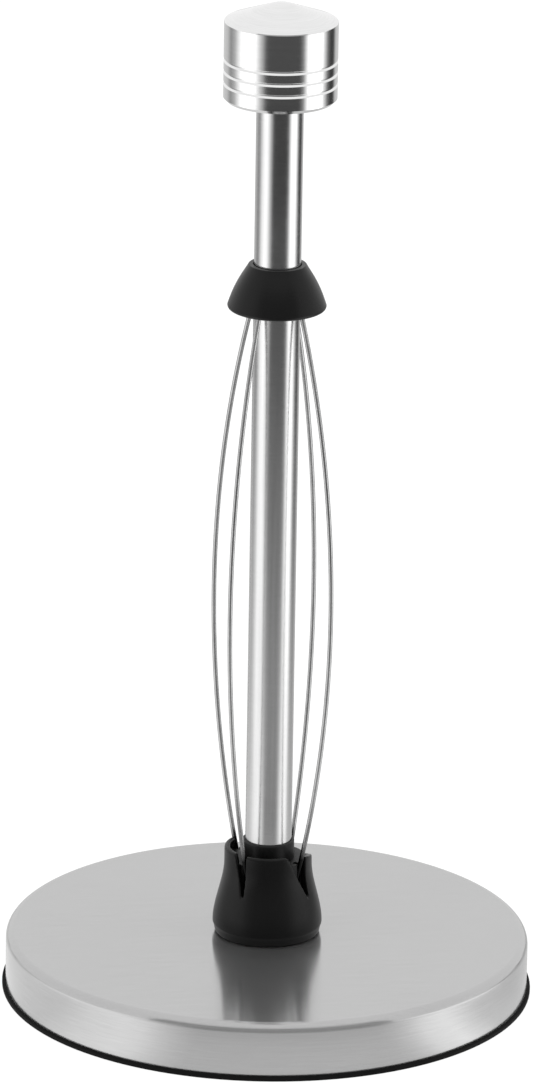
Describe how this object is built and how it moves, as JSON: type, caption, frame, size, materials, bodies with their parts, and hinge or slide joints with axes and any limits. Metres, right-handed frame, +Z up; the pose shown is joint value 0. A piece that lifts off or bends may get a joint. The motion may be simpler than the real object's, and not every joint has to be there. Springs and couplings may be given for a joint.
{
  "type": "paper towel holder",
  "caption": "Upright paper towel holder: weighted round steel base, polished pole with turned finial, and a cage of bowed spring wires that grips the roll's core.",
  "frame": {"origin": "middle of the underside of the base, on the surface that the holder stands on", "axes": "+Z up along the pole, -Y the front, the wires at 45 degrees to X and Y"},
  "size_m": [0.1818, 0.1818, 0.3488],
  "materials": {
    "grip_rubber": "matte moulded rubber",
    "plate_plastic": "matte",
    "weight_iron": "as cast",
    "base_steel": "brushed satin",
    "fastener_steel": "zinc plated",
    "pole_steel": "polished, fine lengthways grain",
    "washer_nylon": "natural nylon",
    "hub_plastic": "moulded nylon",
    "drag_rubber": "matte",
    "collar_plastic": "moulded, soft satin",
    "wire_steel": "drawn spring wire",
    "finial_steel": "turned and brushed round"
  },
  "bodies": {
    "stand": {"grip_ring": "grip_rubber", "bottom_plate": "plate_plastic", "base_weight": "weight_iron", "base_cover": "base_steel", "base_bolt": "fastener_steel", "flat_washer": "fastener_steel", "lock_washer": "fastener_steel", "foot_plug": "fastener_steel", "pole": "pole_steel", "thrust_washer": "washer_nylon", "snap_ring": "fastener_steel", "top_plug": "fastener_steel", "finial_stud": "fastener_steel", "seat_washer": "washer_nylon", "finial_core": "hub_plastic", "finial_cap": "finial_steel"},
    "cage": {"wire_hub": "hub_plastic", "drag_ring": "drag_rubber", "lower_collar": "collar_plastic", "wire_front_left": "wire_steel", "wire_front_right": "wire_steel", "wire_back_left": "wire_steel", "wire_back_right": "wire_steel"},
    "slider": {"upper_bush": "hub_plastic", "upper_collar": "collar_plastic"}
  },
  "joints": [
    {"name": "cage_spin", "type": "hinge", "parent": "stand", "child": "cage", "pos_m": [0, 0, 0.03], "axis": [0, 0, 1], "continuous": true},
    {"name": "collar_slide", "type": "slide", "parent": "cage", "child": "slider", "axis": [0, 0, 1], "range_m": [0, 0.0015], "stiffness_N_per_m": 2000, "deforming": ["wire_front_left", "wire_front_right", "wire_back_left", "wire_back_right"]}
  ]
}
